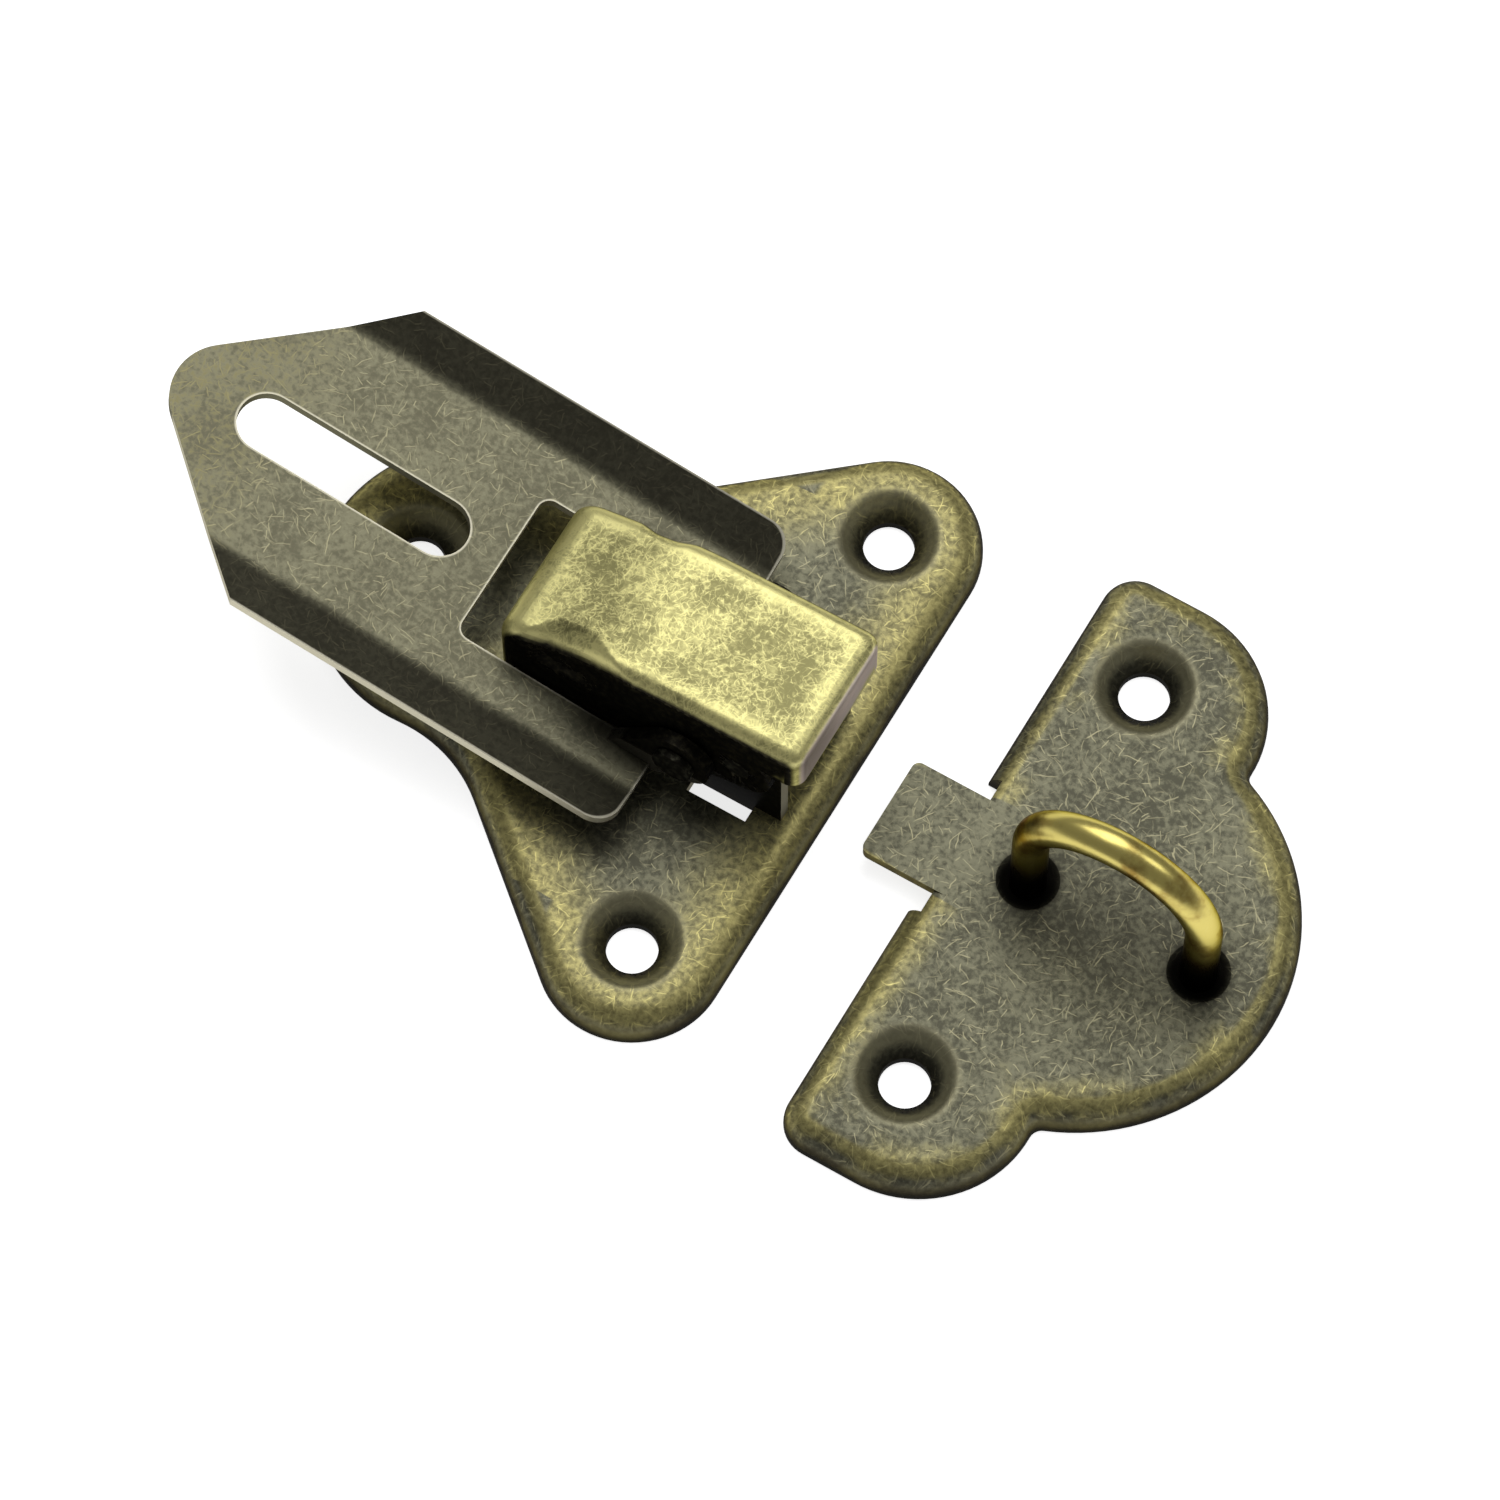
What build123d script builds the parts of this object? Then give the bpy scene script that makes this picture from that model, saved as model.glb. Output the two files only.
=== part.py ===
from build123d import *
from math import acos, atan2, cos, hypot, pi, radians, sin, tan
import os

# Frame: X from the latch half to the striker half, Y across, Z up from the mounting plane.
# The origin lies midway between the two front screw holes of the base plate.

# Sheet and pressed plates
sheet = 0.8
plate_height = 2.0
shoulder_radius = 1.8
screw_hole_diameter = 3.1
dimple_diameter = 5.9
dimple_rim_radius = 0.8
hole_land = 0.6

# Base plate outline
front_hole_spacing = 30.0
rear_hole_distance = 23.7
front_edge_x = 5.65
front_lobe_radius = 5.65
rear_lobe_x = -20.2
rear_lobe_radius = 9.4
side_slope = 40.0
side_share = 0.85
waist_radius = 9.0

# Ears and their relief windows
lever_pivot_x = 1.1
lever_pivot_z = 8.4
ear_half_width = 2.6
window_length = 4.0
window_width = 1.1
window_start_x = -2.1

# Lever
lever_sheet = 0.7
lever_half_width = 4.9
lever_tip_x = -15.2
lever_tip_z = 10.3
lever_kink_x = -6.8
lever_kink_z = 12.9
lever_end_x = 5.3
lever_end_z = 13.4
lip_depth = 3.4
tip_fold_depth = 5.6
pivot_lobe_radius = 2.3
tip_bend_radius = 2.2
kink_radius = 18.0
edge_roll_radius = 1.0

# Hasp, measured from its own pivot along the sheet
hasp_pivot_x = -2.4
hasp_pivot_z = 7.4
hasp_tilt = 8.0
hasp_drop = 2.8
hasp_arm_start = 1.4
hasp_length = 37.6
hasp_tip_radius = 3.4
hasp_flat_half_width = 7.8
hasp_half_width = 10.9
flange_angle = 14.0
flange_bend_radius = 1.4
flange_shoulder = 27.2
flat_shoulder = 30.6
slot_start = 17.6
slot_end = 33.2
slot_width = 3.7
fork_depth = 15.2
fork_corner_radius = 0.8
arm_corner_radius = 1.6
lug_radius = 2.2
lug_root_length = 3.4
lug_lean = 37.0

# Pins
lever_pin_radius = 0.9
hasp_pin_radius = 0.75
pin_head_radius = 1.3
pin_head_height = 0.45

# Striker plate, measured from its straight edge
striker_gap = 7.05
striker_hole_x = 5.26
striker_hole_spacing = 28.4
side_lobe_x = 5.7
side_lobe_y = 13.4
side_lobe_radius = 7.4
nose_x = 8.4
nose_radius = 13.5
corner_radius = 2.2
notch_radius = 0.8
tab_length = 4.1
tab_half_width = 3.3
tab_corner_radius = 0.5
tab_relief_width = 1.5
tab_relief_depth = 0.9

# Staple
wire_radius = 1.1
staple_span = 11.45
staple_offset_x = 0.1
staple_crown_z = 13.5
foot_recess_radius = 1.9
foot_recess_depth = 0.4
foot_rivet_radius = 1.7
foot_rivet_height = 0.6

# Clearances
running_clearance = 0.05
seat_clearance = 0.02
side_clearance = 0.1
fork_clearance = 0.2

# Places that follow from the sizes above
front_hole_y = front_hole_spacing / 2
striker_edge_x = front_edge_x + striker_gap
striker_hole_line = striker_edge_x + striker_hole_x
striker_hole_y = striker_hole_spacing / 2
lever_pivot = (lever_pivot_x, lever_pivot_z)
hasp_pivot = (hasp_pivot_x, hasp_pivot_z)
lever_inner_half_width = lever_half_width - lever_sheet
ear_outer_y = lever_inner_half_width - side_clearance
ear_inner_y = ear_outer_y - sheet
lug_inner_y = lever_half_width + fork_clearance
lug_outer_y = lug_inner_y + sheet

# Solids that stand on a level are placed by the middle of their foot.
BASE = (Align.CENTER, Align.CENTER, Align.MIN)


def side_prism(sketch, y_low, y_high):
    """Extrude a sketch drawn in X and Z from one Y to another."""
    face = Plane.XZ.offset(-y_low) * sketch
    return extrude(face, amount=y_low - y_high)


def y_cylinder(center, radius, y_low, y_high):
    """A cylinder along Y round a point given in X and Z."""
    return side_prism(Pos(*center) * Circle(radius), y_low, y_high)


def near_vertices(sketch, points):
    """The sketch's own corners that lie nearest to the points."""
    return [min(sketch.vertices(), key=lambda v: (Vector(*p) - Vector(v.X, v.Y)).length) for p in points]


def pressed_pan(outline):
    """A shallow pressed plate: a flat top with its rim turned down all round."""
    shell = extrude(outline, amount=plate_height)
    shell = fillet(shell.faces().sort_by(Axis.Z)[-1].edges(), shoulder_radius)
    hollow = extrude(offset(outline, -sheet), amount=plate_height - sheet)
    hollow = fillet(hollow.faces().sort_by(Axis.Z)[-1].edges(), shoulder_radius - sheet)
    return shell - hollow


def add_dimple(plate, x, y):
    """Press a conical seat for a screw head down to the mounting plane and pierce it."""
    hole = screw_hole_diameter / 2
    seat = dimple_diameter / 2
    under = Pos(x, y, 0) * Cone(hole + sheet, seat + sheet / 2, plate_height - sheet / 2, align=BASE)
    sink = Pos(x, y, hole_land) * Cone(hole, seat, plate_height - hole_land, align=BASE)
    bore = Pos(x, y, 0) * Cylinder(hole, plate_height, align=BASE)
    plate = plate + under - sink - bore
    rim = plate.edges().sort_by_distance((x + seat, y, plate_height))[0]
    return fillet(rim, dimple_rim_radius)


def base_outline():
    """Three rounded lobes with a straight front edge and waisted sides."""
    slope = radians(side_slope)
    touch_x = -front_lobe_radius * sin(slope)
    touch_y = front_hole_y + front_lobe_radius * cos(slope)
    run = (touch_x - rear_lobe_x) * side_share
    rear_x = touch_x - run
    rear_y = touch_y - run * tan(slope)
    half = [(front_edge_x, front_hole_y), (touch_x, touch_y), (rear_x, rear_y)]
    other = [(x, -y) for x, y in reversed(half)]
    outline = make_face(Polyline(*half, *other, close=True))
    outline += Pos(rear_lobe_x, 0) * Circle(rear_lobe_radius)
    for side in (-1, 1):
        outline += Pos(0, side * front_hole_y) * Circle(front_lobe_radius)
    waist = near_vertices(outline, [(rear_x, rear_y), (rear_x, -rear_y)])
    return fillet(waist, waist_radius)


def make_base_plate():
    plate = pressed_pan(base_outline())
    for x, y in ((0, front_hole_y), (0, -front_hole_y), (-rear_hole_distance, 0)):
        plate = add_dimple(plate, x, y)
    foot_z = plate_height - sheet
    ear_height = lever_pivot_z - foot_z
    ear = Pos(lever_pivot_x, foot_z + ear_height / 2) * Rectangle(2 * ear_half_width, ear_height)
    ear += Pos(*lever_pivot) * Circle(ear_half_width)
    ear -= Pos(*lever_pivot) * Circle(lever_pin_radius + seat_clearance)
    window_x = window_start_x + window_length / 2
    window_y = ear_outer_y + window_width / 2
    for side in (-1, 1):
        low, high = sorted((side * ear_inner_y, side * ear_outer_y))
        plate += side_prism(ear, low, high)
        window = Pos(window_x, side * window_y) * Rectangle(window_length, window_width)
        plate -= extrude(window, amount=2 * plate_height)
    return plate


def round_bends(sketch, bends, depth):
    """Round the lever's three bends in a side sketch that lies at a depth below the outside."""
    radii = (tip_bend_radius, kink_radius, edge_roll_radius)
    for point, radius in zip(bends, radii):
        sketch = fillet(near_vertices(sketch, [point]), radius - depth)
    return sketch


def make_lever():
    """A folded channel: top, rolled side walls, folded finger end and a turned-down lip."""
    top = [(lever_tip_x, lever_tip_z), (lever_kink_x, lever_kink_z), (lever_end_x, lever_end_z)]
    tip_bottom = (lever_tip_x, lever_tip_z - tip_fold_depth)
    lip_z = lever_end_z - lip_depth
    lobe_bottom = (lever_pivot_x, lever_pivot_z - pivot_lobe_radius)
    wall_bottom = (hasp_pivot_x, hasp_pivot_z - pivot_lobe_radius)
    lip = [(lever_end_x, lip_z), (lever_pivot_x, lip_z)]
    side = make_face(Polyline(tip_bottom, *top, *lip, lobe_bottom, wall_bottom, close=True))
    side = round_bends(side, top, 0)
    side += Pos(*lever_pivot) * Circle(pivot_lobe_radius)
    block = side_prism(side, -lever_half_width, lever_half_width)
    walls = block.faces().filter_by(Axis.Y)
    rolled = [edge for edge in walls.edges() if edge.center().Z > lip_z]
    block = fillet(rolled, edge_roll_radius)
    inner_x = lever_tip_x + lever_sheet
    inner_end = lever_end_x - lever_sheet
    inner_top = [(inner_x, lever_tip_z - lever_sheet), (lever_kink_x, lever_kink_z - lever_sheet),
                 (inner_end, lever_end_z - lever_sheet)]
    inside = make_face(Polyline((inner_x, 0), *inner_top, (inner_end, 0), close=True))
    inside = round_bends(inside, inner_top, lever_sheet)
    block -= side_prism(inside, -lever_inner_half_width, lever_inner_half_width)
    for center, pin_radius in ((lever_pivot, lever_pin_radius), (hasp_pivot, hasp_pin_radius)):
        block -= y_cylinder(center, pin_radius + running_clearance, -lever_half_width, lever_half_width)
    return block


def make_hasp():
    """A slotted tongue with raised side flanges and a fork whose lugs carry the pivot."""
    rise = (hasp_half_width - hasp_flat_half_width) * tan(radians(flange_angle))
    upper = [(-hasp_half_width, rise), (-hasp_flat_half_width, 0),
             (hasp_flat_half_width, 0), (hasp_half_width, rise)]
    lower = [(y, z - sheet) for y, z in reversed(upper)]
    section = make_face(Polyline(*upper, *lower, close=True))
    bends = near_vertices(section, [upper[1], upper[2]])
    section = fillet(bends, flange_bend_radius)
    bends = near_vertices(section, [lower[1], lower[2]])
    section = fillet(bends, flange_bend_radius + sheet)
    strip = extrude(Plane.YZ * section, amount=-hasp_length)
    tip_x = -(hasp_length - hasp_tip_radius)
    shoulder_run = tip_x + flat_shoulder
    shoulder_turn = acos(hasp_tip_radius / hypot(shoulder_run, hasp_flat_half_width))
    tip_turn = pi - atan2(hasp_flat_half_width, -shoulder_run) - shoulder_turn
    tip_point = (tip_x - hasp_tip_radius * cos(tip_turn), hasp_tip_radius * sin(tip_turn))
    half = [(-hasp_arm_start, hasp_half_width), (-flange_shoulder, hasp_half_width),
            (-flat_shoulder, hasp_flat_half_width), tip_point]
    other = [(x, -y) for x, y in reversed(half)]
    plan = make_face(Polyline(*half, *other, close=True))
    plan += Pos(tip_x, 0) * Circle(hasp_tip_radius)
    corners = near_vertices(plan, [half[0], other[-1]])
    plan = fillet(corners, arm_corner_radius)
    slot_length = slot_end - slot_start
    plan -= Pos(-(slot_start + slot_end) / 2, 0) * SlotOverall(slot_length, slot_width)
    fork = Pos(-fork_depth / 2, 0) * Rectangle(fork_depth, 2 * lug_inner_y)
    fork_corners = near_vertices(fork, [(-fork_depth, lug_inner_y), (-fork_depth, -lug_inner_y)])
    plan -= fillet(fork_corners, fork_corner_radius)
    sheet_metal = strip & extrude(Pos(0, 0, -hasp_half_width) * plan, amount=2 * hasp_half_width)
    body = Pos(0, 0, -hasp_drop) * sheet_metal
    root_z = -hasp_drop - sheet
    lean_x = lug_radius * cos(radians(lug_lean))
    lean_z = lug_radius * sin(radians(lug_lean))
    lug = make_face(Polyline((-hasp_arm_start, root_z), (-hasp_arm_start - lug_root_length, root_z),
                             (-lean_x, lean_z), (lean_x, -lean_z), close=True))
    lug += Circle(lug_radius)
    lug -= Circle(hasp_pin_radius + running_clearance)
    for side in (-1, 1):
        low, high = sorted((side * lug_inner_y, side * lug_outer_y))
        body += side_prism(lug, low, high)
    return Pos(hasp_pivot_x, 0, hasp_pivot_z) * Rot(0, hasp_tilt, 0) * body


def make_lever_pin():
    return y_cylinder(lever_pivot, lever_pin_radius, -lever_half_width, lever_half_width)


def make_hasp_pin():
    reach = lug_outer_y + running_clearance
    pin = y_cylinder(hasp_pivot, hasp_pin_radius, -reach, reach)
    for low in (-reach - pin_head_height, reach):
        pin += y_cylinder(hasp_pivot, pin_head_radius, low, low + pin_head_height)
    return pin


def striker_outline():
    """Two side lobes and a round nose behind a straight edge."""
    outline = Pos(nose_x, 0) * Circle(nose_radius)
    shoulder_y = side_lobe_y + side_lobe_radius
    outline += Pos(side_lobe_x / 2, 0) * Rectangle(side_lobe_x, 2 * shoulder_y)
    for side in (-1, 1):
        outline += Pos(side_lobe_x, side * side_lobe_y) * Circle(side_lobe_radius)
    reach = nose_x + nose_radius
    outline &= Pos(reach / 2, 0) * Rectangle(reach, 2 * shoulder_y)
    corners = near_vertices(outline, [(0, shoulder_y), (0, -shoulder_y)])
    outline = fillet(corners, corner_radius)
    lobe_reach = side_lobe_x + side_lobe_radius
    notches = near_vertices(outline, [(lobe_reach, side_lobe_y), (lobe_reach, -side_lobe_y)])
    return fillet(notches, notch_radius)


def make_striker_plate():
    plate = pressed_pan(striker_outline())
    for side in (-1, 1):
        plate = add_dimple(plate, striker_hole_x, side * striker_hole_y)
    opening = 2 * (tab_half_width + tab_relief_width)
    rim = Pos(tab_relief_depth / 2, 0, 0) * Box(tab_relief_depth, opening, plate_height, align=BASE)
    plate -= rim
    tab_middle = (shoulder_radius - tab_length) / 2
    tab = Pos(tab_middle, 0) * Rectangle(tab_length + shoulder_radius, 2 * tab_half_width)
    corners = near_vertices(tab, [(-tab_length, tab_half_width), (-tab_length, -tab_half_width)])
    tab = fillet(corners, tab_corner_radius)
    plate += extrude(Pos(0, 0, plate_height - sheet) * tab, amount=sheet)
    for foot in (0, staple_span):
        x = striker_hole_x + staple_offset_x + foot
        recess = Pos(x, 0, plate_height - foot_recess_depth)
        plate -= recess * Cone(wire_radius, foot_recess_radius, foot_recess_depth, align=BASE)
        plate -= Pos(x, 0, 0) * Cylinder(wire_radius + seat_clearance, plate_height, align=BASE)
    return Pos(striker_edge_x, 0, 0) * plate


def make_staple():
    """A round wire arch whose feet are riveted over under the striker plate."""
    near_x = striker_hole_line + staple_offset_x
    far_x = near_x + staple_span
    spring_z = staple_crown_z - staple_span / 2
    foot_z = plate_height - sheet - foot_rivet_height
    path = Line((near_x, 0, foot_z), (near_x, 0, spring_z))
    crown = ((near_x + far_x) / 2, 0, staple_crown_z)
    path += ThreePointArc((near_x, 0, spring_z), crown, (far_x, 0, spring_z))
    path += Line((far_x, 0, spring_z), (far_x, 0, foot_z))
    wire = sweep(Pos(near_x, 0, foot_z) * Circle(wire_radius), path=path)
    for x in (near_x, far_x):
        wire += Pos(x, 0, foot_z) * Cylinder(foot_rivet_radius, foot_rivet_height, align=BASE)
    return wire


PARTS = {
    "base_plate": make_base_plate,
    "lever": make_lever,
    "lever_pin": make_lever_pin,
    "hasp": make_hasp,
    "hasp_pin": make_hasp_pin,
    "striker_plate": make_striker_plate,
    "staple": make_staple,
}

os.makedirs("parts", exist_ok=True)
for name, make in PARTS.items():
    export_step(make(), f"parts/{name}.step")
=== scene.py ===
import bmesh
import bpy
from math import cos, radians, sin, tau
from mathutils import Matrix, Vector


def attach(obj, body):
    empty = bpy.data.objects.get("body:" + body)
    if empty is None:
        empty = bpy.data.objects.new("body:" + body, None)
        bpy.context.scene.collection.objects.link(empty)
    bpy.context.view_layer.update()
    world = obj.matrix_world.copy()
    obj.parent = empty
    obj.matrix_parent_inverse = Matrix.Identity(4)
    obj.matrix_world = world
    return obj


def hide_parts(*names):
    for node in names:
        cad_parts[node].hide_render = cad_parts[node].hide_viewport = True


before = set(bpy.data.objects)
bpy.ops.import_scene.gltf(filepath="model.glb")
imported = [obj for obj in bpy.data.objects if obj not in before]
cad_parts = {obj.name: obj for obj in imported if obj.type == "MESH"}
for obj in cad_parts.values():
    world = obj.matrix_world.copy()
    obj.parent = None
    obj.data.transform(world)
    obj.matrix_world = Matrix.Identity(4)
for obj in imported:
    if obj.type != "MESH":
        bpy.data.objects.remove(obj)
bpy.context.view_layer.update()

MM = 0.001

# Camera, fitted to the screw holes and edges of both plates in a 1500 by 1500 image
CAMERA_AZIMUTH = 30.44
CAMERA_ELEVATION = 66.96
CAMERA_DISTANCE = 473.8 * MM
CAMERA_TARGET = Vector((-0.59 * MM, -0.38 * MM, 0))
CAMERA_CLIP_START = 0.01
FOCAL_PIXELS = 8000
IMAGE_PIXELS = 1500
SENSOR_WIDTH = 36.0

# Floor and light, with each softbox as azimuth, elevation, distance, size and power
FLOOR_HALF = 1.5
FLOOR_PALE = (0.86, 0.86, 0.86, 1)
FLOOR_ROUGHNESS = 0.9
FLOOR_GLOW = 0.78
WHITE = (1, 1, 1, 1)
WORLD_STRENGTH = 0.22
SOFTBOXES = {
    "window": (222, 60, 0.7, 0.56, 2.5),
    "side_window": (127, 56, 0.7, 0.26, 0.5),
}

# Plan of the pieces in millimetres: lobes as x, y and radius, screw holes and staple feet as x and y
BASE_LOBES = ((-20.2, 0, 9.4), (0, 15, 5.65))
BASE_FRONT_X = 5.65
BASE_SIDE_SLOPE = 40.0
BASE_HOLES = ((0, 15), (-23.7, 0))
STRIKER_EDGE_X = 12.7
STRIKER_LOBES = ((21.1, 0, 13.5), (18.4, 13.4, 7.4))
STRIKER_SHOULDER_Y = 20.8
STRIKER_HOLES = ((17.96, 14.2),)
STAPLE_FEET = ((18.06, 0), (29.51, 0))
# Points along the staple, round which its cast shadow is painted dark on the striker plate
STAPLE_PAINTED_SHADOW = ((19.5, 0), (22.0, 0), (25.0, 0), (28.0, 0))
TAB_HALF_WIDTH = 3.3
TAB_MARGIN = 0.4
SLOT_NEAR_X = -22.05
SLOT_FAR_X = -33.84
SLOT_RADIUS = 1.85
FORK_X = -17.84
FORK_HALF_WIDTH = 5.1
FORK_CORNER = 0.8
HASP_HALF_WIDTH = 10.9
ARM_END_X = -4.18
ARM_CORNER = 1.6
SHOULDER = 1.8
HOLE_RADIUS = 1.55
DIMPLE_RADIUS = 2.6
FOOT_RADIUS = 1.9
LEVER_HALF_WIDTH = 4.9
LEVER_KINK_X = -6.8
OUTLINE_STEEPNESS = 10.0

# Dents of the lever's long edges in millimetres: course along x, side, width on top and push at the edge
LEVER_DENTS = (
    ((-14.4, -11.6, -10.4, -5.2), -1, 2.1, (0, 0.5, -0.9)),
    ((-11.4, -9.4, -8.6, -6.6), 1, 1.4, (0, -0.35, -0.1)),
)
DENT_ROUNDING = 0.25
DENT_Z = (7.6, 10.4)

# Cuts through the lever's mesh in millimetres: axis, first place, last place and step
LEVER_CUTS = (
    (0, -14.2, -5.2, 0.25),
    (0, -4.2, 3.8, 1.0),
    (1, -3.8, -2.7, 0.1),
    (1, 3.0, 3.8, 0.2),
    (2, 7.5, 9.5, 0.5),
)
WELD_DISTANCE = 1e-6
SHARP_ANGLE = radians(35)

# Painted shade in the plates, as dark pits in the screw dimples and round the staple feet, and a painted
# shadow of the staple: points, inner and outer radius in millimetres, and strength
BASE_PITS = ((BASE_HOLES, HOLE_RADIUS, DIMPLE_RADIUS, 0.8),)
STRIKER_PITS = (
    # painted shade in the screw dimple
    (STRIKER_HOLES, HOLE_RADIUS, DIMPLE_RADIUS, 0.8),
    # painted shade round the staple feet
    (STAPLE_FEET, 1.5, FOOT_RADIUS + 0.4, 1.0),
    # painted shadow of the staple, cast on the plate between its feet
    (STAPLE_PAINTED_SHADOW, 0.5, 6.0, 0.5),
)

# How far in the rims of the plates are rubbed, in millimetres, and how much of them
BASE_RUB = (6.5, 0.36)
STRIKER_RUB = (3.2, 0.20)

# Spans over which a finish of the plates fades, in millimetres
RUB_START = (0.2, 0.6)
CREST_DEPTH = (1.5, 2.5)
SEAT_RING_OUTER = (2.8, 3.5)
SEAT_RING_INNER = (1.9, 2.5)
# Where painted shade blackens the rim near the floor, the window walls and the ears
RIM_FOOT_Z = (0.2, 1.4)
WINDOW_X = (4.2, 4.6)
WINDOW_Y = (5.3, 5.6)
EARS_Z = (2.1, 2.6)

# Spans over which a finish of the hasp fades, in millimetres
BURR_WIDTH = (0.04, 0.15)
HASP_TIP_X = (-36.5, -30)
# Where painted shade blackens the flanges and the lugs
FLANGE_Y = (7.5, 8.5)
LUG_X = (-8, -7)
LUG_Z = (6.1, 6.5)
SLOT_WALL_X = (-20, -19)
SLOT_WALL_Y = (2.4, 3.0)
# Where painted shade blackens the arms' ends beside the lever
ARM_SHADE_X = (-13, -7.5)
ARM_SHADE_Y = (5.4, 8.4)

# Spans over which a finish of the lever or the staple fades, in millimetres
LEVER_ROLL_Y = (3.0, 4.2)
LEVER_LIP_END_X = (3.2, 4.6)
LEVER_FINGER_END_X = (-14.6, -12.6)
LEVER_KINK_REACH = (0.5, 2.5)
LEVER_FRONT_X = (-8, -2)
LIP_X = (4.8, 5.1)
# Where painted shade blackens the lever's walls, and the staple's legs
WALL_TOP_Z = (10.2, 10.5)
WALL_START_X = (-13, -12)
WALL_END_X = (4.0, 4.6)
STAPLE_FOOT_Z = (3.5, 10.0)

# Spans of the surface's direction over which a finish fades, from 0 to 1 along x, y or z
HAIR_LEVEL = (0.3, 0.7)
CREST_STEEP = (0.70, 0.88)
CREST_LEVEL = (0.96, 0.999)
RIM_LEVEL = (0.35, 0.75)
# Level of the window walls, which painted shade blackens
WINDOW_LEVEL = (0.3, 0.7)
EAR_FACING = (0.8, 0.95)
HASP_EDGE_LEVEL = (0.4, 0.8)
LIP_FACING = (0.75, 0.95)
# Facing of the lever's side walls, which painted shade blackens
WALL_FACING = (0.70, 0.95)

# Spans of tone between the darker and the lighter of two finishes
PATINA_TONE = (1.02, 1.58)
# Tone of the painted shade, between black and near-black
PAINTED_SHADE_TONE = (0.40, 0.75)
RUB_TONE = (0.62, 0.80)
GRAIN_TONE = (0.2, 0.8)
CREST_TONE = (0.34, 0.62)
RIM_TONE = (0.38, 0.70)
HASP_TIP_TONE = (0.45, 0.75)
LEVER_TONE = (0.02, 1.08)
STAPLE_TONE = (0.42, 0.66)
STAPLE_SPECK_TONE = (0.55, 0.75)
PIN_TONE = (0.45, 0.75)

# Sizes of marks, in millimetres, with the veins as distance apart and share that is line
PLATE_SPECK = 0.35
PLATE_CLOUD = 4.5
PLATE_PATCH = 5.0
RIM_FRAY = 1.2
RIM_FRAY_DEPTH = 1.6
LEVER_SPECK = 0.4
LEVER_CLOUD = 3.0
LEVER_VEINS = ((1.5, 0.025), (0.9, 0.035))
STAPLE_SPECK = 0.3
STAPLE_CLOUD = 3.0
PIN_SPECK = 0.4
BUMP_DISTANCE = 0.03

# Hair scratches: layers as share of the length and offset in millimetres, then shares of length or width
HAIR_LAYERS = ((1.0, 3.1), (1.0, 17.3), (0.75, 41.9), (0.6, 77.7), (0.5, 58.2))
HAIR_SWAY = 0.45
HAIR_CORE = 0.4
HAIR_ENDS = (0.3, 0.6)

# Roughness and metallic value of each finish
PLATING = (0.45, 0.85)
POLISHED = (0.42, 0.9)
WIRE = (0.30, 0.95)
DARK_PIN = (0.5, 0.8)

# Colours, as linear values
PATINA_DARK = (0.080, 0.078, 0.055, 1)
PATINA_LIGHT = (0.180, 0.175, 0.118, 1)
PATINA_HAIR = (0.42, 0.39, 0.24, 1)
RIM_BROWN = (0.045, 0.038, 0.022, 1)
BRASS_DULL = (0.21, 0.185, 0.075, 1)
BRASS_WORN = (0.66, 0.59, 0.24, 1)
BRASS_GREY = (0.20, 0.187, 0.080, 1)
BRASS_BRIGHT = (0.70, 0.65, 0.28, 1)
LIP_GREY = (0.70, 0.60, 0.56, 1)
STAPLE_GOLD = (0.66, 0.56, 0.17, 1)
STAPLE_BROWN = (0.30, 0.20, 0.05, 1)
CUT_EDGE = (0.80, 0.76, 0.60, 1)
# Black and near-black of painted shade
SHADE_BLACK = (0.010, 0.009, 0.007, 1)
PAINTED_SHADE_DARK = (0.040, 0.036, 0.022, 1)
GLANCE = (0.20, 0.19, 0.16, 1)


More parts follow.
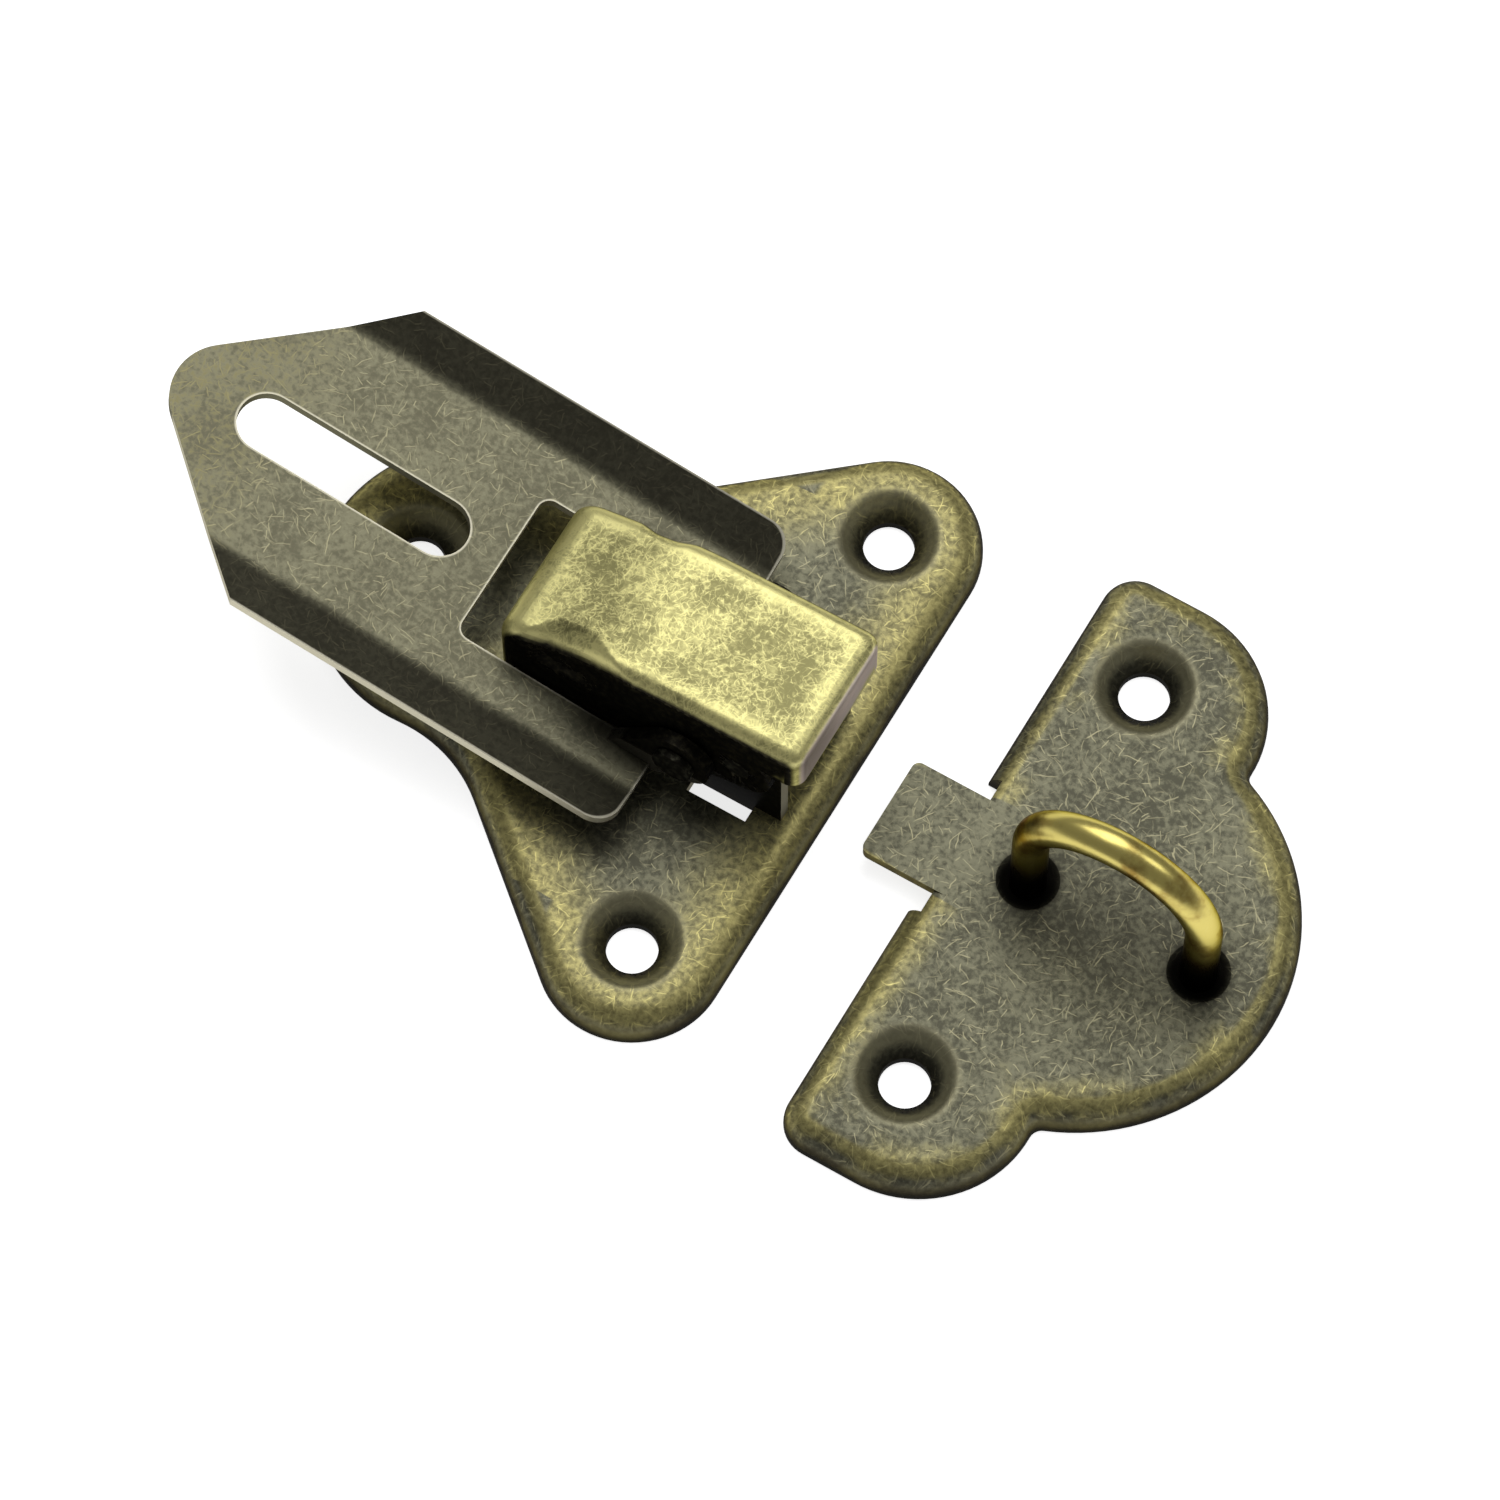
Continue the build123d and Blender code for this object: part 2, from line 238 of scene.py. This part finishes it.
class Nodes:
    """Short calls for adding and linking shader nodes in one material."""

    def __init__(self, name):
        self.material = bpy.data.materials.new(name)
        self.material.use_nodes = True
        self.tree = self.material.node_tree
        self.shader = self.tree.nodes["Principled BSDF"]
        coords = self.add("ShaderNodeTexCoord")
        self.place = coords.outputs["Object"]
        self.x, self.y, self.z = self.split(self.place)
        self.normal_x, self.normal_y, self.normal_z = self.split(coords.outputs["Normal"])
        self.side_y = self.math("ABSOLUTE", self.y)
        self.plan = self.join(self.x, self.side_y, 0.0)

    def add(self, kind, **settings):
        node = self.tree.nodes.new(kind)
        for key, value in settings.items():
            setattr(node, key, value)
        return node

    def put(self, socket, value):
        if isinstance(value, bpy.types.NodeSocket):
            self.tree.links.new(value, socket)
        else:
            socket.default_value = value

    def math(self, operation, a, b=0.0):
        node = self.add("ShaderNodeMath", operation=operation)
        self.put(node.inputs[0], a)
        self.put(node.inputs[1], b)
        return node.outputs[0]

    def vector(self, operation, a, b):
        node = self.add("ShaderNodeVectorMath", operation=operation)
        self.put(node.inputs[0], a)
        self.put(node.inputs[1], b)
        return node.outputs["Value" if operation == "DISTANCE" else "Vector"]

    def split(self, vector):
        node = self.add("ShaderNodeSeparateXYZ")
        self.put(node.inputs[0], vector)
        return node.outputs

    def join(self, x, y, z):
        node = self.add("ShaderNodeCombineXYZ")
        for socket, value in zip(node.inputs, (x, y, z)):
            self.put(socket, value)
        return node.outputs[0]

    def minus(self, a, b):
        return self.math("SUBTRACT", a, b)

    def both(self, a, b):
        return self.math("MULTIPLY", a, b)

    def plus(self, a, b, share):
        """The first value and a share of the second."""
        return self.math("ADD", a, self.both(b, share))

    def over(self, a, b):
        """How far the first value is above the second, and 0 where it is below."""
        return self.math("MAXIMUM", 0.0, self.minus(a, b))

    def most(self, values):
        """The largest of several values."""
        total = values[0]
        for value in values[1:]:
            total = self.math("MAXIMUM", total, value)
        return total

    def noise(self, size, detail=4.0):
        """Cloudy noise with marks of about a size in millimetres."""
        node = self.add("ShaderNodeTexNoise")
        self.put(node.inputs["Vector"], self.place)
        node.inputs["Scale"].default_value = 1 / (size * MM)
        node.inputs["Detail"].default_value = detail
        node.inputs["Roughness"].default_value = 0.6
        return node.outputs["Fac"]

    def rise(self, value, span):
        """0 below a span, 1 above it and a smooth step between."""
        node = self.add("ShaderNodeMapRange", interpolation_type="SMOOTHSTEP", clamp=True)
        self.put(node.inputs["Value"], value)
        node.inputs["From Min"].default_value, node.inputs["From Max"].default_value = span
        return node.outputs["Result"]

    def fall(self, value, span):
        """1 below a span, 0 above it and a smooth step between."""
        return self.minus(1.0, self.rise(value, span))

    def rise_mm(self, value, span):
        """The rising step over a span in millimetres."""
        return self.rise(value, [edge * MM for edge in span])

    def fall_mm(self, value, span):
        """The falling step over a span in millimetres."""
        return self.minus(1.0, self.rise_mm(value, span))

    def mix(self, factor, a, b):
        node = self.add("ShaderNodeMix", data_type="RGBA")
        self.put(node.inputs["Factor"], factor)
        self.put(node.inputs["A"], a)
        self.put(node.inputs["B"], b)
        return node.outputs["Result"]

    def hair_layer(self, size, width, rarity, offset):
        """Short scratches in millimetres, one in each cell of a random pattern, each turned its own way."""
        sway = self.add("ShaderNodeTexNoise")
        self.put(sway.inputs["Vector"], self.place)
        sway.inputs["Scale"].default_value = 1 / (size * MM)
        reach = HAIR_SWAY * size * MM
        swing = self.vector("MULTIPLY", sway.outputs["Color"], (reach, reach, 0))
        level = self.vector("MULTIPLY", self.place, (1, 1, 0))
        spot = self.vector("ADD", level, (offset * MM, -offset * MM, 0))
        spot = self.vector("ADD", spot, swing)
        cells = self.add("ShaderNodeTexVoronoi", voronoi_dimensions="2D")
        self.put(cells.inputs["Vector"], spot)
        cells.inputs["Scale"].default_value = 1 / (size * MM)
        chance = self.add("ShaderNodeSeparateColor")
        self.put(chance.inputs[0], cells.outputs["Color"])
        turn = self.add("ShaderNodeVectorRotate", rotation_type="Z_AXIS")
        self.put(turn.inputs["Vector"], self.vector("SUBTRACT", spot, cells.outputs["Position"]))
        self.put(turn.inputs["Angle"], self.both(chance.outputs[0], tau))
        along, across, _ = self.split(turn.outputs[0])
        line = self.fall_mm(self.math("ABSOLUTE", across), (HAIR_CORE * width, width))
        ends = self.fall_mm(self.math("ABSOLUTE", along), [share * size for share in HAIR_ENDS])
        return self.both(self.both(line, ends), self.math("POWER", chance.outputs[1], rarity))

    def hairs(self, size=1.2, width=0.045, rarity=3.2):
        """Fine random scratches of several lengths laid over each other, on faces that lie level."""
        layers = [self.hair_layer(size * share, width, rarity, offset) for share, offset in HAIR_LAYERS]
        level = self.rise(self.math("ABSOLUTE", self.normal_z), HAIR_LEVEL)
        return self.both(self.most(layers), level)

    def veins(self, size, width):
        """Thin winding lines about a size in millimetres apart."""
        ridge = self.math("ABSOLUTE", self.minus(self.noise(size, detail=2), 0.5))
        return self.fall(ridge, (0.0, width))

    def away(self, x, y):
        """Distance in plan from a point in millimetres, or from its mirror image across the middle."""
        return self.vector("DISTANCE", self.plan, (x * MM, y * MM, 0))

    def discs(self, lobes):
        """Depth in plan inside the nearest of several round lobes."""
        return self.most([self.minus(r * MM, self.away(x, y)) for x, y, r in lobes])

    def pits(self, points, span):
        """1 within the inner radius of any of the points and 0 beyond the outer one."""
        return self.most([self.fall_mm(self.away(x, y), span) for x, y in points])

    def finish(self, color, surface, bump_height, bump_strength=0.2):
        self.put(self.shader.inputs["Base Color"], color)
        roughness, metallic = surface
        self.shader.inputs["Roughness"].default_value = roughness
        self.shader.inputs["Metallic"].default_value = metallic
        self.shader.inputs["Specular Tint"].default_value = GLANCE
        bump = self.add("ShaderNodeBump")
        bump.inputs["Strength"].default_value = bump_strength
        bump.inputs["Distance"].default_value = BUMP_DISTANCE * MM
        self.put(bump.inputs["Height"], bump_height)
        self.put(self.shader.inputs["Normal"], bump.outputs["Normal"])
        return self.material


def patina(n, hair, speck):
    """Dark plating with cloudy tone, small specks and hair scratches."""
    cloud = n.plus(n.noise(PLATE_CLOUD, detail=5), speck, 1.6)
    base = n.mix(n.rise(cloud, PATINA_TONE), PATINA_DARK, PATINA_LIGHT)
    return n.mix(n.both(hair, 0.75), base, PATINA_HAIR)


def painted_shade(n, speck):
    """Painted shade: nearly black plating with a few specks, for faces that lie in shade."""
    return n.mix(n.rise(speck, PAINTED_SHADE_TONE), SHADE_BLACK, PAINTED_SHADE_DARK)


def base_depth(n):
    """Depth in plan from the rim of the base plate."""
    _, lobe_y, lobe_radius = BASE_LOBES[1]
    slope = radians(BASE_SIDE_SLOPE)
    lean = n.minus(n.both(n.x, sin(slope)), n.both(n.side_y, cos(slope)))
    side = n.math("ADD", lean, (lobe_radius + lobe_y * cos(slope)) * MM)
    front = n.minus(BASE_FRONT_X * MM, n.x)
    beyond = n.over(n.side_y, lobe_y * MM)
    body = n.minus(n.math("MINIMUM", side, front), n.both(beyond, OUTLINE_STEEPNESS))
    return n.math("MAXIMUM", n.discs(BASE_LOBES), body)


def striker_depth(n):
    """Depth in plan from the rim of the striker plate."""
    tab = n.over((TAB_HALF_WIDTH + TAB_MARGIN) * MM, n.side_y)
    front = n.plus(n.minus(n.x, STRIKER_EDGE_X * MM), tab, OUTLINE_STEEPNESS)
    shoulder = n.minus(STRIKER_SHOULDER_Y * MM, n.side_y)
    back = n.minus(STRIKER_LOBES[1][0] * MM, n.x)
    body = n.math("MAXIMUM", n.discs(STRIKER_LOBES), n.math("MINIMUM", shoulder, back))
    return n.math("MINIMUM", front, body)


def plate_material(name, depth_of, rub, holes, pit_list):
    """Dark plating, rubbed through to brass along the rim, with painted shade making the pits, the rim near
    the floor, the ears and the window walls black.
    """
    n = Nodes(name)
    reach, amount = rub
    speck = n.noise(PLATE_SPECK, detail=3)
    hair = n.hairs()
    color = patina(n, hair, speck)
    depth = depth_of(n)
    patch = n.noise(PLATE_PATCH, detail=5)

    # Brass in frayed patches along the rim
    fray = n.plus(depth, n.minus(n.noise(RIM_FRAY), 0.5), RIM_FRAY_DEPTH * MM)
    near = n.both(n.rise_mm(depth, RUB_START), n.fall_mm(fray, (0.5 * SHOULDER, reach)))
    rubbed = n.both(near, n.rise(patch, [edge - amount for edge in RUB_TONE]))
    grain = n.plus(n.both(hair, 0.6), n.rise(speck, GRAIN_TONE), 0.6)
    brass = n.mix(grain, BRASS_DULL, BRASS_WORN)
    color = n.mix(n.math("MINIMUM", n.both(rubbed, n.math("ADD", grain, 0.45)), 1.0), color, brass)

    # Brass on the crest of the rounded shoulder
    crest = n.both(n.rise(n.normal_z, CREST_STEEP), n.fall(n.normal_z, CREST_LEVEL))
    crest = n.both(crest, n.rise(n.plus(patch, speck, 0.3), CREST_TONE))
    crest = n.both(crest, n.fall_mm(depth, CREST_DEPTH))
    color = n.mix(n.both(crest, 0.8), color, brass)

    # Mottled brown on the rim that is turned down
    rim = n.fall(n.normal_z, RIM_LEVEL)
    mottle = n.plus(n.both(patch, 0.9), speck, 0.12)
    rim_color = n.mix(n.rise(mottle, RIM_TONE), RIM_BROWN, BRASS_DULL)
    color = n.mix(n.both(rim, 0.85), color, rim_color)

    # Pale rings round the screw seats, and black pits of painted shade and painted shadow
    ring = n.minus(n.pits(holes, SEAT_RING_OUTER), n.pits(holes, SEAT_RING_INNER))
    color = n.mix(n.both(ring, 0.5), color, PATINA_HAIR)
    for points, inner, outer, strength in pit_list:
        color = n.mix(n.both(n.pits(points, (inner, outer)), strength), color, SHADE_BLACK)
    # Painted shade blackens the turned-down rim towards the floor
    foot = n.both(rim, n.fall_mm(n.z, RIM_FOOT_Z))
    color = n.mix(n.both(foot, 0.85), color, SHADE_BLACK)

    # Painted shade making the ears and the window walls black, with bright front edges
    window = n.both(n.fall_mm(n.side_y, WINDOW_Y), n.fall_mm(n.math("ABSOLUTE", n.x), WINDOW_X))
    window_wall = n.both(window, n.fall(n.normal_z, WINDOW_LEVEL))
    ears = n.math("MAXIMUM", n.rise_mm(n.z, EARS_Z), window_wall)
    color = n.mix(ears, color, painted_shade(n, speck))
    ear_edge = n.both(ears, n.rise(n.normal_x, EAR_FACING))
    color = n.mix(n.both(ear_edge, 0.45), color, CUT_EDGE)
    return n.finish(color, PLATING, n.plus(speck, hair, 0.5))


def rounded_corner(n, beside, behind, radius):
    """Distance outwards from the edge of a rounded corner."""
    return n.minus(n.vector("DISTANCE", n.join(beside, behind, 0.0), (0, 0, 0)), radius * MM)


def hasp_burr(n):
    """The thin bright line along the cut edges of the hasp's slot, fork and arms."""
    along = n.math("MINIMUM", n.math("MAXIMUM", n.x, SLOT_FAR_X * MM), SLOT_NEAR_X * MM)
    slot = n.minus(n.vector("DISTANCE", n.plan, n.join(along, 0.0, 0.0)), SLOT_RADIUS * MM)
    beside = n.over(n.side_y, (FORK_HALF_WIDTH - FORK_CORNER) * MM)
    behind = n.over((FORK_X + FORK_CORNER) * MM, n.x)
    fork = rounded_corner(n, beside, behind, FORK_CORNER)
    outside = n.over(n.side_y, (HASP_HALF_WIDTH - ARM_CORNER) * MM)
    ahead = n.over(n.x, (ARM_END_X - ARM_CORNER) * MM)
    arm = n.minus(0.0, rounded_corner(n, outside, ahead, ARM_CORNER))
    return n.fall_mm(n.math("MINIMUM", n.math("MINIMUM", slot, fork), arm), BURR_WIDTH)


def hasp_material():
    """Dark plating with hair scratches on the flat, bright cut edges, and painted shade making the flanges,
    the lugs and the arms' ends black.
    """
    n = Nodes("antique_hasp")
    speck = n.noise(PLATE_SPECK, detail=3)
    hair = n.hairs()
    color = n.mix(0.15, patina(n, hair, speck), PATINA_HAIR)
    tip = n.both(n.fall_mm(n.x, HASP_TIP_X), n.rise(n.plus(speck, hair, 0.5), HASP_TIP_TONE))
    color = n.mix(n.both(tip, 0.6), color, BRASS_DULL)
    # Painted shade makes the flanges blacker
    color = n.mix(n.both(n.rise_mm(n.side_y, FLANGE_Y), 0.82), color, SHADE_BLACK)
    color = n.mix(n.both(hasp_burr(n), 0.6), color, CUT_EDGE)
    edge = n.fall(n.math("ABSOLUTE", n.normal_z), HASP_EDGE_LEVEL)
    slot_wall = n.both(n.fall_mm(n.side_y, SLOT_WALL_Y), n.fall_mm(n.x, SLOT_WALL_X))
    color = n.mix(n.both(edge, 0.9), color, n.mix(slot_wall, CUT_EDGE, PATINA_LIGHT))
    # Painted shade blackens the arms' ends beside the lever wall
    painted_arm_shade = n.both(n.rise_mm(n.x, ARM_SHADE_X), n.fall_mm(n.side_y, ARM_SHADE_Y))
    color = n.mix(n.both(painted_arm_shade, 0.9), color, SHADE_BLACK)
    # Painted shade blackens the bent-up lugs
    lug = n.both(n.rise_mm(n.z, LUG_Z), n.rise_mm(n.x, LUG_X))
    color = n.mix(lug, color, painted_shade(n, speck))
    return n.finish(color, PLATING, n.plus(speck, hair, 0.5))


def lever_material():
    """Brass rubbed bright on top, most of all along its edges, with side walls painted black as shade and a
    grey lip.
    """
    n = Nodes("bright_lever")
    speck = n.noise(LEVER_SPECK, detail=3)
    hair = n.hairs(size=0.8, width=0.05, rarity=1.2)
    cloud = n.noise(LEVER_CLOUD, detail=5)

    # Tone of the top, from scratches, specks, clouds and the places that hands rub
    vein = n.most([n.veins(size, width) for size, width in LEVER_VEINS])
    line = n.plus(n.both(hair, 0.38), vein, 0.30)
    tone = n.math("ADD", line, n.minus(speck, 0.2))
    tone = n.plus(tone, n.minus(cloud, 0.5), 1.4)
    kink = n.fall_mm(n.math("ABSOLUTE", n.minus(n.x, LEVER_KINK_X * MM)), LEVER_KINK_REACH)
    rubbed = n.most((
        n.rise_mm(n.side_y, LEVER_ROLL_Y),
        n.rise_mm(n.x, LEVER_LIP_END_X),
        n.fall_mm(n.x, LEVER_FINGER_END_X),
        n.both(kink, 0.25),
    ))
    tone = n.plus(tone, rubbed, 0.50)
    tone = n.plus(tone, n.rise_mm(n.x, LEVER_FRONT_X), -0.08)
    color = n.mix(n.rise(tone, LEVER_TONE), BRASS_GREY, BRASS_BRIGHT)

    # Grey lip, and painted shade making the side walls and the sheet below the top black
    lip = n.both(n.rise(n.normal_x, LIP_FACING), n.rise_mm(n.x, LIP_X))
    color = n.mix(lip, color, LIP_GREY)
    wall = n.rise(n.math("ABSOLUTE", n.normal_y), WALL_FACING)
    middle = n.both(n.rise_mm(n.x, WALL_START_X), n.fall_mm(n.x, WALL_END_X))
    below = n.both(n.fall_mm(n.z, WALL_TOP_Z), middle)
    color = n.mix(n.math("MAXIMUM", wall, below), color, painted_shade(n, speck))
    return n.finish(color, POLISHED, n.plus(speck, hair, 0.6))


def staple_material():
    """Golden wire, browner in places, with painted shade darkening it towards its feet."""
    n = Nodes("golden_wire")
    speck = n.noise(STAPLE_SPECK, detail=3)
    color = n.mix(n.rise(n.noise(STAPLE_CLOUD), STAPLE_TONE), STAPLE_GOLD, STAPLE_BROWN)
    color = n.mix(n.both(n.rise(speck, STAPLE_SPECK_TONE), 0.35), color, BRASS_WORN)
    # Painted shade blackens the legs towards the plate
    color = n.mix(n.fall_mm(n.z, STAPLE_FOOT_Z), color, SHADE_BLACK)
    return n.finish(color, WIRE, speck, bump_strength=0.1)


def pin_material():
    """Dark riveted pin ends, painted nearly black as shade like the linkage round them."""
    n = Nodes("dark_pin")
    speck = n.noise(PIN_SPECK, detail=3)
    color = n.mix(n.rise(speck, PIN_TONE), SHADE_BLACK, PATINA_DARK)
    return n.finish(color, DARK_PIN, speck)


def smooth_step(value, low, high):
    """0 at low, 1 at high and a smooth step between, also where high is the smaller."""
    t = min(1.0, max(0.0, (value - low) / (high - low)))
    return t * t * (3 - 2 * t)


def push_of_dents(place):
    """How far the dents move one point of the lever, in metres."""
    x, y, z = place / MM
    push = Vector((0, 0, 0))
    for (start, full, full_end, end), side, width, shift in LEVER_DENTS:
        along = smooth_step(x, start, full) * smooth_step(x, end, full_end)
        inside = max(0.0, side * y - (LEVER_HALF_WIDTH - width * along))
        push += Vector(shift) * MM * inside ** 2 / ((inside + DENT_ROUNDING) * width)
    return push * smooth_step(z, *DENT_Z)


def cut_across(shape, axis, low, high, step):
    """Cut a mesh by parallel planes a step apart in millimetres."""
    normal = Vector((0, 0, 0))
    normal[axis] = 1
    for index in range(round((high - low) / step) + 1):
        geometry = shape.verts[:] + shape.edges[:] + shape.faces[:]
        place = normal * (low + index * step) * MM
        bmesh.ops.bisect_plane(shape, geom=geometry, dist=WELD_DISTANCE, plane_co=place, plane_no=normal)


def make_lever():
    """The lever's own sheet with the small dents along its two long edges."""
    shape = bmesh.new()
    shape.from_mesh(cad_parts["lever"].data)
    bmesh.ops.remove_doubles(shape, verts=shape.verts, dist=WELD_DISTANCE)
    for cut in LEVER_CUTS:
        cut_across(shape, *cut)
    bmesh.ops.triangulate(shape, faces=shape.faces)
    for vert in shape.verts:
        vert.co += push_of_dents(vert.co)
    mesh = bpy.data.meshes.new("dented_lever")
    shape.to_mesh(mesh)
    shape.free()
    mesh.shade_smooth()
    mesh.set_sharp_from_angle(angle=SHARP_ANGLE)
    mesh.materials.append(lever_material())
    lever = bpy.data.objects.new("dented_lever", mesh)
    bpy.context.collection.objects.link(lever)
    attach(lever, "lever")
    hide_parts("lever")


def dress_nodes():
    pin = pin_material()
    finishes = {
        "base_plate": plate_material("antique_base", base_depth, BASE_RUB, BASE_HOLES, BASE_PITS),
        "striker_plate": plate_material(
            "antique_striker", striker_depth, STRIKER_RUB, STRIKER_HOLES, STRIKER_PITS
        ),
        "hasp": hasp_material(),
        "staple": staple_material(),
        "lever_pin": pin,
        "hasp_pin": pin,
    }
    for name, material in finishes.items():
        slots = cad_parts[name].data.materials
        slots.clear()
        slots.append(material)


def view_direction(azimuth, elevation):
    """Unit vector from the object towards a viewer."""
    a = radians(azimuth)
    e = radians(elevation)
    return Vector((sin(a) * cos(e), -cos(a) * cos(e), sin(e)))


def make_camera():
    data = bpy.data.cameras.new("photo_camera")
    data.sensor_width = SENSOR_WIDTH
    data.lens = SENSOR_WIDTH * FOCAL_PIXELS / IMAGE_PIXELS
    data.clip_start = CAMERA_CLIP_START
    camera = bpy.data.objects.new("photo_camera", data)
    towards = view_direction(CAMERA_AZIMUTH, CAMERA_ELEVATION)
    camera.location = CAMERA_TARGET + towards * CAMERA_DISTANCE
    camera.rotation_euler = towards.to_track_quat("Z", "Y").to_euler()
    bpy.context.collection.objects.link(camera)
    bpy.context.scene.camera = camera


def floor_material():
    """Pale floor that shows as white to the camera and in reflections, and keeps the shadow."""
    material = bpy.data.materials.new("floor_white")
    material.use_nodes = True
    tree = material.node_tree
    shader = tree.nodes["Principled BSDF"]
    shader.inputs["Base Color"].default_value = FLOOR_PALE
    shader.inputs["Roughness"].default_value = FLOOR_ROUGHNESS
    shader.inputs["Specular IOR Level"].default_value = 0.0
    shader.inputs["Emission Color"].default_value = WHITE
    rays = tree.nodes.new("ShaderNodeLightPath")
    seen = rays.outputs["Is Camera Ray"]
    for ray in ("Is Glossy Ray", "Is Transmission Ray"):
        either = tree.nodes.new("ShaderNodeMath")
        either.operation = "MAXIMUM"
        tree.links.new(seen, either.inputs[0])
        tree.links.new(rays.outputs[ray], either.inputs[1])
        seen = either.outputs[0]
    lift = tree.nodes.new("ShaderNodeMath")
    lift.operation = "MULTIPLY"
    lift.inputs[1].default_value = FLOOR_GLOW
    tree.links.new(seen, lift.inputs[0])
    tree.links.new(lift.outputs[0], shader.inputs["Emission Strength"])
    return material


def make_floor():
    mesh = bpy.data.meshes.new("floor")
    half = FLOOR_HALF
    corners = [(-half, -half, 0), (half, -half, 0), (half, half, 0), (-half, half, 0)]
    mesh.from_pydata(corners, [], [(0, 1, 2, 3)])
    mesh.materials.append(floor_material())
    floor = bpy.data.objects.new("floor", mesh)
    bpy.context.collection.objects.link(floor)


def add_softbox(name, azimuth, elevation, distance, size, energy):
    data = bpy.data.lights.new(name, "AREA")
    data.shape = "SQUARE"
    data.size = size
    data.energy = energy
    lamp = bpy.data.objects.new(name, data)
    towards = view_direction(azimuth, elevation)
    lamp.location = towards * distance
    lamp.rotation_euler = towards.to_track_quat("Z", "Y").to_euler()
    bpy.context.collection.objects.link(lamp)


def light_scene():
    world = bpy.data.worlds.new("studio")
    bpy.context.scene.world = world
    world.use_nodes = True
    background = world.node_tree.nodes["Background"]
    background.inputs["Color"].default_value = WHITE
    background.inputs["Strength"].default_value = WORLD_STRENGTH
    for name, placing in SOFTBOXES.items():
        add_softbox(name, *placing)


dress_nodes()
make_lever()
make_floor()
light_scene()
make_camera()
bpy.context.scene.view_settings.view_transform = "Standard"
